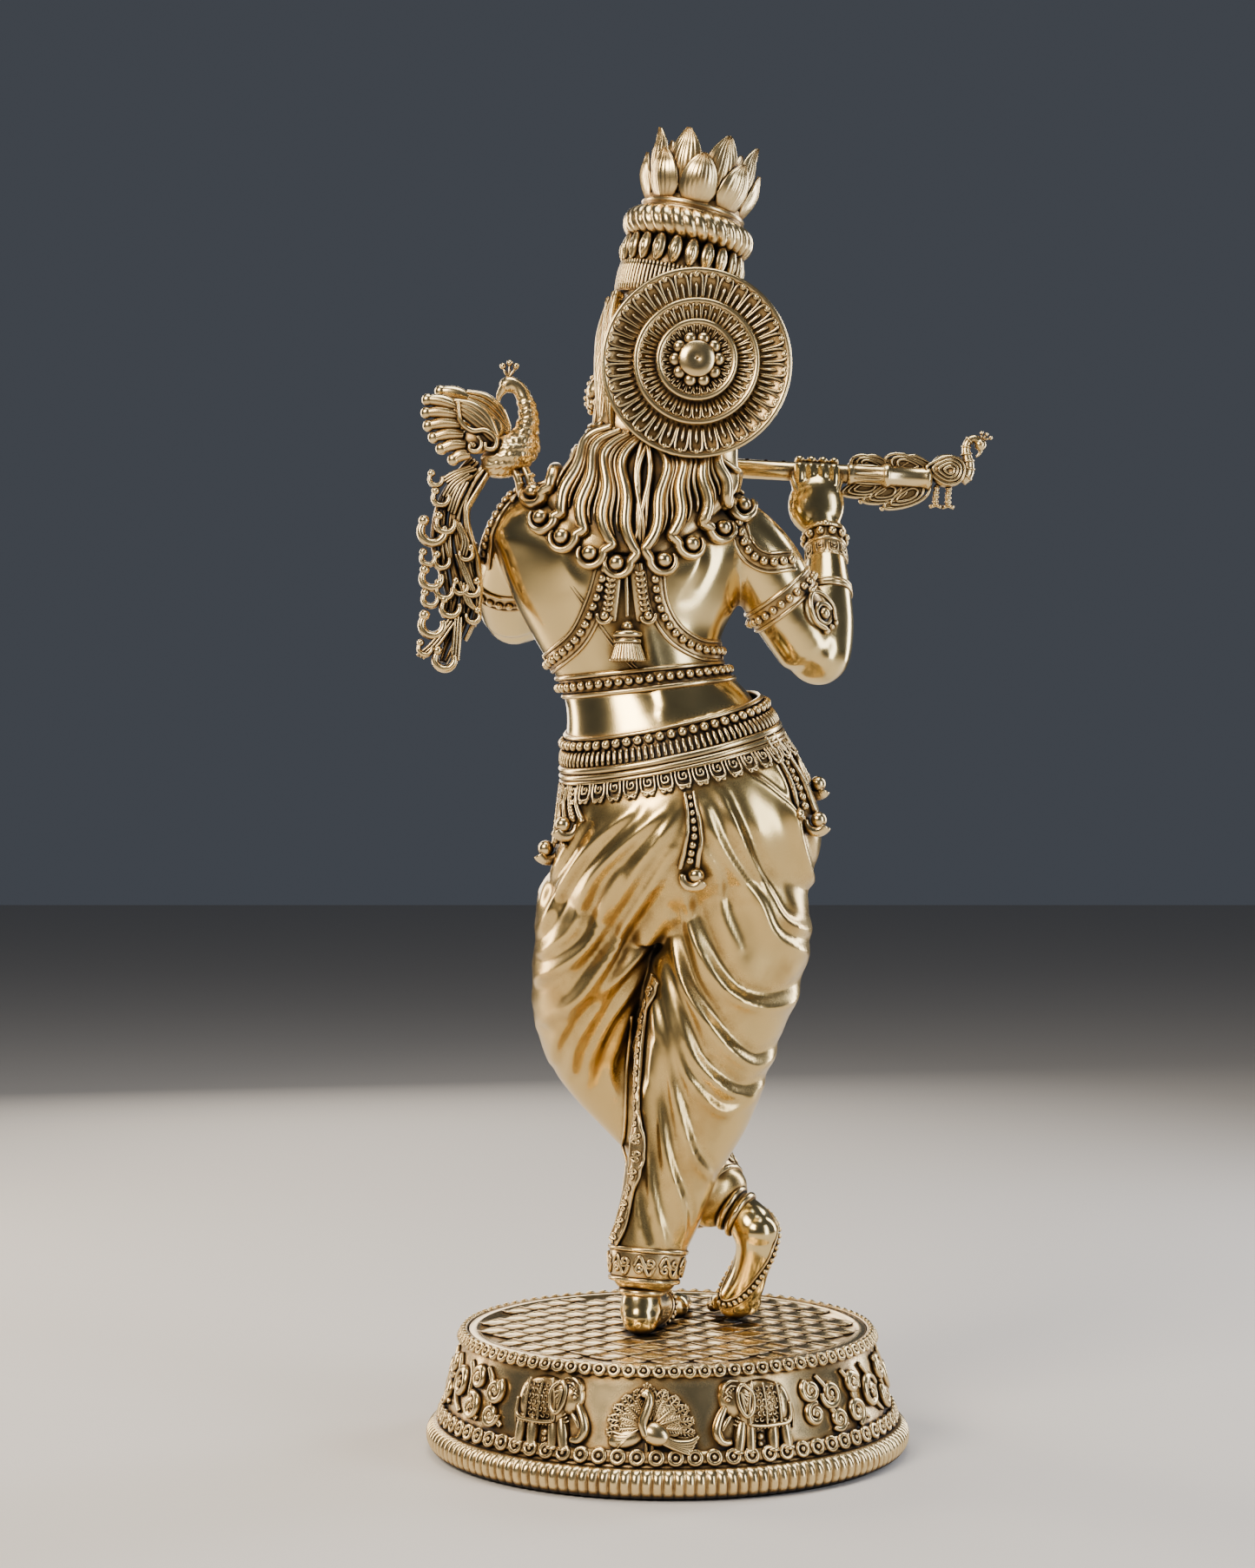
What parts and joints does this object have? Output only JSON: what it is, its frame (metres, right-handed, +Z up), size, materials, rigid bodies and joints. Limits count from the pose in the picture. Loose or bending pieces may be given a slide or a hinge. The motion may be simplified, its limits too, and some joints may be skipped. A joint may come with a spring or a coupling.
{
  "type": "hindu deity statue",
  "caption": "Cast brass figure of a flute player standing with crossed legs on a round relief plinth, with a halo and a flute that draws out of the hands.",
  "frame": {"origin": "centre of the plinth's foot, on the surface that it stands on", "axes": "+Z up; the figure faces -Y; +X is the figure's left, so the flute points to -X"},
  "size_m": [0.2712, 0.2248, 0.61],
  "materials": {
    "antique_brass": "cast, patinated and hand rubbed, satin",
    "rubbed_brass": "cast, high points rubbed bright, dark in the recesses",
    "draped_brass": "chased folds with brown patina between them",
    "plain_steel": "plain zinc finish"
  },
  "bodies": {
    "statue": {"back_pendant": "rubbed_brass", "base_shell": "antique_brass", "belt_bead_row": "rubbed_brass", "bird_body": "rubbed_brass", "bird_tail": "rubbed_brass", "bird_wings": "rubbed_brass", "crossed_anklet": "rubbed_brass", "crossed_cuff": "rubbed_brass", "crossed_foot": "antique_brass", "crossed_leg": "draped_brass", "crown_base": "rubbed_brass", "crown_collar": "rubbed_brass", "crown_ring": "rubbed_brass", "deck_paving": "antique_brass", "earrings": "rubbed_brass", "elephant_reliefs": "rubbed_brass", "foot_studs": "plain_steel", "garland": "rubbed_brass", "hair_fall": "antique_brass", "halo_large": "rubbed_brass", "halo_middle": "rubbed_brass", "halo_rosette": "rubbed_brass", "halo_small": "rubbed_brass", "halo_stud": "antique_brass", "head": "antique_brass", "hip_belt": "rubbed_brass", "hip_tassels": "rubbed_brass", "hips": "draped_brass", "left_armlet": "rubbed_brass", "left_bangle": "rubbed_brass", "left_bracelet": "rubbed_brass", "left_forearm": "antique_brass", "left_hand": "antique_brass", "left_upper_arm": "antique_brass", "lotus": "rubbed_brass", "lower_bead_ring": "rubbed_brass", "peacock_reliefs": "rubbed_brass", "ribbed_foot_ring": "rubbed_brass", "right_armlet": "rubbed_brass", "right_bangle": "rubbed_brass", "right_bracelet": "rubbed_brass", "right_forearm": "antique_brass", "right_hand": "antique_brass", "right_upper_arm": "antique_brass", "sash": "draped_brass", "scroll_reliefs": "rubbed_brass", "standing_anklet": "rubbed_brass", "standing_cuff": "rubbed_brass", "standing_foot": "antique_brass", "standing_leg": "draped_brass", "stud_nuts": "plain_steel", "stud_washers": "plain_steel", "torso": "antique_brass", "upper_bead_ring": "rubbed_brass", "waist_band": "rubbed_brass"},
    "flute": {"flute_rod": "rubbed_brass", "flute_sleeve": "rubbed_brass", "flute_plumes": "rubbed_brass", "flute_peacock": "rubbed_brass"}
  },
  "joints": [
    {"name": "flute_slide", "type": "slide", "parent": "statue", "child": "flute", "axis": [-0.9985, 0, -0.0541], "range_m": [0, 0.12]}
  ]
}
